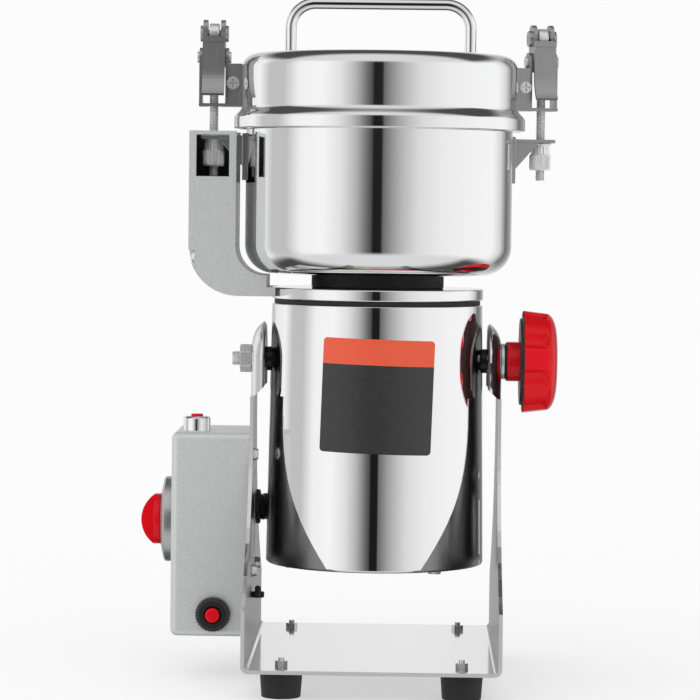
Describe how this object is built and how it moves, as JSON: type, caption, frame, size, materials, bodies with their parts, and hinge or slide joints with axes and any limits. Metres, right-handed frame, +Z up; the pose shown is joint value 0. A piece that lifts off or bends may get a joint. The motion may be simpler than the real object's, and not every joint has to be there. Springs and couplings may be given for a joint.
{
  "type": "electric grain mill",
  "caption": "Tilting electric grain mill: motor and clamped-lid grinding bowl hung in a steel stand, with a control box and timer.",
  "frame": {"origin": "middle of the machine's overall width and depth, on the floor under its feet", "axes": "+Z up, -Y the front with the rating plate, -X the side of the control box, +X the side of the star knob"},
  "size_m": [0.22, 0.19, 0.36],
  "materials": {
    "yoke": "polished stainless sheet",
    "rubber_feet": "matt black rubber",
    "foot_bolts": "plated steel",
    "box_screws": "plated steel",
    "cross_screws": "plated steel",
    "lever_rivets": "plated steel",
    "housing_screws": "plated steel",
    "control_box_shell": "silver-grey hammered paint",
    "interlock_arm": "silver-grey hammered paint",
    "arm_inner_cover": "silver-grey hammered paint",
    "control_box_backplate": "plain sheet",
    "timer_dial": "light grey plastic with a printed scale",
    "timer_unit": "black moulded case",
    "start_switch": "black moulded case",
    "reset_breaker": "black moulded case",
    "interlock_switch": "black moulded case",
    "start_barrel": "chromed",
    "reset_ring": "black moulded, knurled",
    "terminal_block": "white moulded",
    "mains_gland": "black moulded",
    "stand_gland": "black moulded",
    "housing_gland": "black moulded",
    "wiring_conduit": "black corrugated plastic",
    "timer_knob": "glossy red",
    "start_button": "glossy red",
    "reset_button": "glossy red",
    "clamp_knob": "glossy red",
    "interlock_plunger": "glossy red",
    "motor_housing": "mirror-polished stainless steel",
    "housing_gasket": "black rubber",
    "bowl_collar": "black rubber",
    "motor_top_ring": "polished",
    "rating_plate": "bare dark plate with an orange band",
    "pivot_bosses": "blackened steel",
    "pivot_stud_left": "zinc plated",
    "pivot_nut_left": "zinc plated",
    "clamp_washer": "zinc plated",
    "clamp_stud": "zinc plated",
    "stator_core": "laminated steel",
    "armature": "laminated steel",
    "stator_coils": "enamelled copper wire",
    "bearings": "ground steel",
    "brush_holders": "dark moulding with brass tube",
    "carbon_brushes": "carbon",
    "bowl": "fine-brushed stainless steel",
    "lid": "fine-brushed stainless steel",
    "bowl_catches": "plated steel",
    "latch_rod_left": "plated steel",
    "latch_rod_right": "plated steel",
    "adjuster_nut_left": "plated steel",
    "adjuster_nut_right": "plated steel",
    "lid_seal": "white silicone",
    "handle": "polished steel rod",
    "latch_brackets": "grey cast metal",
    "latch_lever_left": "grey cast metal",
    "latch_lever_right": "grey cast metal",
    "rotor_shaft": "turned steel",
    "blade_nut": "turned steel",
    "cooling_fan": "light moulded plastic",
    "grinding_blades": "ground stainless steel"
  },
  "bodies": {
    "stand": {"yoke": "yoke", "rubber_feet": "rubber_feet", "foot_bolts": "foot_bolts", "control_box_shell": "control_box_shell", "control_box_backplate": "control_box_backplate", "box_screws": "box_screws", "timer_dial": "timer_dial", "timer_unit": "timer_unit", "start_barrel": "start_barrel", "start_switch": "start_switch", "reset_ring": "reset_ring", "reset_breaker": "reset_breaker", "terminal_block": "terminal_block", "mains_gland": "mains_gland", "stand_gland": "stand_gland", "wiring_conduit": "wiring_conduit"},
    "timer_knob": {"timer_knob": "timer_knob"},
    "start_button": {"start_button": "start_button"},
    "reset_button": {"reset_button": "reset_button"},
    "head": {"motor_housing": "motor_housing", "housing_gasket": "housing_gasket", "motor_top_ring": "motor_top_ring", "bowl_collar": "bowl_collar", "rating_plate": "rating_plate", "housing_screws": "housing_screws", "pivot_bosses": "pivot_bosses", "pivot_stud_left": "pivot_stud_left", "pivot_nut_left": "pivot_nut_left", "stator_core": "stator_core", "stator_coils": "stator_coils", "bearings": "bearings", "brush_holders": "brush_holders", "carbon_brushes": "carbon_brushes", "bowl": "bowl", "bowl_catches": "bowl_catches", "lid": "lid", "lid_seal": "lid_seal", "handle": "handle", "latch_brackets": "latch_brackets", "cross_screws": "cross_screws", "lever_rivets": "lever_rivets", "interlock_arm": "interlock_arm", "arm_inner_cover": "arm_inner_cover", "interlock_switch": "interlock_switch", "housing_gland": "housing_gland"},
    "interlock_plunger": {"interlock_plunger": "interlock_plunger"},
    "rotor": {"rotor_shaft": "rotor_shaft", "armature": "armature", "cooling_fan": "cooling_fan", "grinding_blades": "grinding_blades", "blade_nut": "blade_nut"},
    "clamp": {"clamp_knob": "clamp_knob", "clamp_stud": "clamp_stud", "clamp_washer": "clamp_washer"},
    "lever_left": {"latch_lever_left": "latch_lever_left"},
    "lever_right": {"latch_lever_right": "latch_lever_right"},
    "rod_left": {"latch_rod_left": "latch_rod_left"},
    "rod_right": {"latch_rod_right": "latch_rod_right"},
    "nut_left": {"adjuster_nut_left": "adjuster_nut_left"},
    "nut_right": {"adjuster_nut_right": "adjuster_nut_right"}
  },
  "joints": [
    {"name": "head_tilt", "type": "hinge", "parent": "stand", "child": "head", "pos_m": [0.0147, 0, 0.169], "axis": [1, 0, 0], "range_deg": [-90, 90], "deforming": ["wiring_conduit"]},
    {"name": "clamp_turn", "type": "hinge", "parent": "head", "child": "clamp", "pos_m": [0.0947, 0, 0.169], "axis": [1, 0, 0], "range_deg": [0, 360]},
    {"name": "rotor_spin", "type": "hinge", "parent": "head", "child": "rotor", "pos_m": [0.0147, 0, 0.1], "axis": [0, 0, 1], "continuous": true},
    {"name": "lever_left_open", "type": "hinge", "parent": "head", "child": "lever_left", "pos_m": [-0.073, 0, 0.328], "axis": [-1, 0, 0], "range_deg": [0, 120]},
    {"name": "lever_right_open", "type": "hinge", "parent": "head", "child": "lever_right", "pos_m": [0.10048, 0.01823, 0.328], "axis": [-0.9781, -0.2079, 0], "range_deg": [0, 120]},
    {"name": "rod_left_hang", "type": "hinge", "parent": "lever_left", "child": "rod_left", "pos_m": [-0.073, 0, 0.3404], "axis": [-1, 0, 0], "range_deg": [-120, 0]},
    {"name": "rod_right_hang", "type": "hinge", "parent": "lever_right", "child": "rod_right", "pos_m": [0.10048, 0.01823, 0.3404], "axis": [-0.9781, -0.2079, 0], "range_deg": [-120, 0]},
    {"name": "nut_left_turn", "type": "hinge", "parent": "rod_left", "child": "nut_left", "pos_m": [-0.073, 0, 0.277], "axis": [0, 0, 1], "continuous": true},
    {"name": "nut_right_turn", "type": "hinge", "parent": "rod_right", "child": "nut_right", "pos_m": [0.10048, 0.01823, 0.277], "axis": [0, 0, 1], "continuous": true},
    {"name": "timer_turn", "type": "hinge", "parent": "stand", "child": "timer_knob", "pos_m": [-0.0983, 0.01, 0.082], "axis": [1, 0, 0], "range_deg": [0, 300]},
    {"name": "start_press", "type": "slide", "parent": "stand", "child": "start_button", "axis": [0, 0, -1], "range_m": [0, 0.001], "stiffness_N_per_m": 400},
    {"name": "reset_press", "type": "slide", "parent": "stand", "child": "reset_button", "axis": [0, 1, 0], "range_m": [0, 0.0015], "stiffness_N_per_m": 500},
    {"name": "plunger_press", "type": "slide", "parent": "head", "child": "interlock_plunger", "axis": [0, 0, -1], "range_m": [0, 0.0012], "stiffness_N_per_m": 300}
  ],
  "couplings": [
    {"joint": "rod_left_hang", "follows": "lever_left_open", "ratio": -1},
    {"joint": "rod_right_hang", "follows": "lever_right_open", "ratio": -1}
  ]
}
